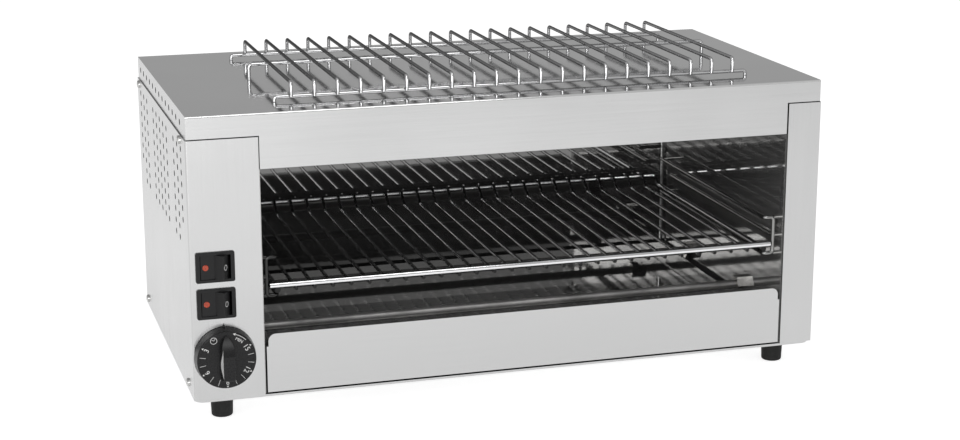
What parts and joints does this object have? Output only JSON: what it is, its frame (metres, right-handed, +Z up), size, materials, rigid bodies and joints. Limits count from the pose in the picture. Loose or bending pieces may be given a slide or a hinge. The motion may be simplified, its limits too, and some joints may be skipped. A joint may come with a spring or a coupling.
{
  "type": "countertop toaster grill",
  "caption": "Open-front countertop electric toaster: steel box with a sliding wire rack, crumb tray, heating rods, timer knob, rocker switches and a warming rack on top.",
  "frame": {"origin": "middle of the footprint, on the surface that the rubber feet stand on", "axes": "+X to the viewer's right along the long side, +Y to the back, +Z up"},
  "size_m": [0.5494, 0.3194, 0.2727],
  "materials": {
    "satin_steel": "satin stainless sheet with a fine horizontal grain",
    "bright_steel": "bright stainless sheet, close to a mirror",
    "chromed_wire": "bright chromed wire",
    "heater_sheath": "dull grey sheathed tube",
    "fastener_steel": "bright fasteners",
    "ceramic": "glazed off-white",
    "contact_brass": "plain brass",
    "black_rubber": "matt black",
    "black_plastic": "satin black moulding",
    "grey_plastic": "grey moulding",
    "red_lens": "clear orange-red lens",
    "white_plastic": "white moulding"
  },
  "bodies": {
    "cabinet": {"top_cover": "satin_steel", "left_casing": "satin_steel", "right_casing": "satin_steel", "base_pan": "satin_steel", "back_panel": "satin_steel", "left_inner_wall": "bright_steel", "right_inner_wall": "bright_steel", "rear_reflector": "bright_steel", "ceiling_panel": "bright_steel", "tray_guide_left": "bright_steel", "tray_guide_right": "bright_steel", "rack_guide_left": "chromed_wire", "rack_guide_right": "chromed_wire", "lower_heater_front": "heater_sheath", "lower_heater_rear": "heater_sheath", "upper_heater_front": "heater_sheath", "upper_heater_rear": "heater_sheath", "heater_nuts_left": "fastener_steel", "heater_nuts_right": "fastener_steel", "side_screws_left": "fastener_steel", "side_screws_right": "fastener_steel", "back_screws": "fastener_steel", "foot_screws": "fastener_steel", "foot_nuts": "fastener_steel", "timer_screws": "fastener_steel", "heater_beads_left": "ceramic", "heater_beads_right": "ceramic", "heater_pins_left": "contact_brass", "heater_pins_right": "contact_brass", "switch_blades": "contact_brass", "terminal_screws": "contact_brass", "foot_front_left": "black_rubber", "foot_front_right": "black_rubber", "foot_rear_left": "black_rubber", "foot_rear_right": "black_rubber", "switch_housing_upper": "black_plastic", "switch_housing_lower": "black_plastic", "cable_gland": "black_plastic", "gland_nut": "black_plastic", "timer_body": "grey_plastic", "terminal_block": "white_plastic"},
    "tray": {"crumb_tray": "satin_steel"},
    "toasting_rack": {"grill_rack": "chromed_wire"},
    "warming_rack": {"top_rack": "chromed_wire"},
    "knob": {"timer_knob": "black_plastic", "timer_shaft": "fastener_steel"},
    "upper_rocker": {"rocker_upper": "black_plastic", "rocker_lens_upper": "red_lens"},
    "lower_rocker": {"rocker_lower": "black_plastic", "rocker_lens_lower": "red_lens"}
  },
  "joints": [
    {"name": "tray_slide", "type": "slide", "parent": "cabinet", "child": "tray", "axis": [0, -1, 0], "range_m": [0, 0.235]},
    {"name": "toasting_rack_slide", "type": "slide", "parent": "cabinet", "child": "toasting_rack", "axis": [0, -1, 0], "range_m": [0, 0.2]},
    {"name": "warming_rack_lift", "type": "slide", "parent": "cabinet", "child": "warming_rack", "axis": [0, 0, 1], "range_m": [0, 0.08]},
    {"name": "timer_turn", "type": "hinge", "parent": "cabinet", "child": "knob", "pos_m": [-0.2468, -0.13725, 0.0582], "axis": [0, 1, 0], "range_deg": [0, 300]},
    {"name": "upper_rocker_tilt", "type": "hinge", "parent": "cabinet", "child": "upper_rocker", "pos_m": [-0.2521, -0.13275, 0.1332], "axis": [0, 0, 1], "range_deg": [0, 16]},
    {"name": "lower_rocker_tilt", "type": "hinge", "parent": "cabinet", "child": "lower_rocker", "pos_m": [-0.2521, -0.13275, 0.1029], "axis": [0, 0, 1], "range_deg": [0, 16]}
  ]
}
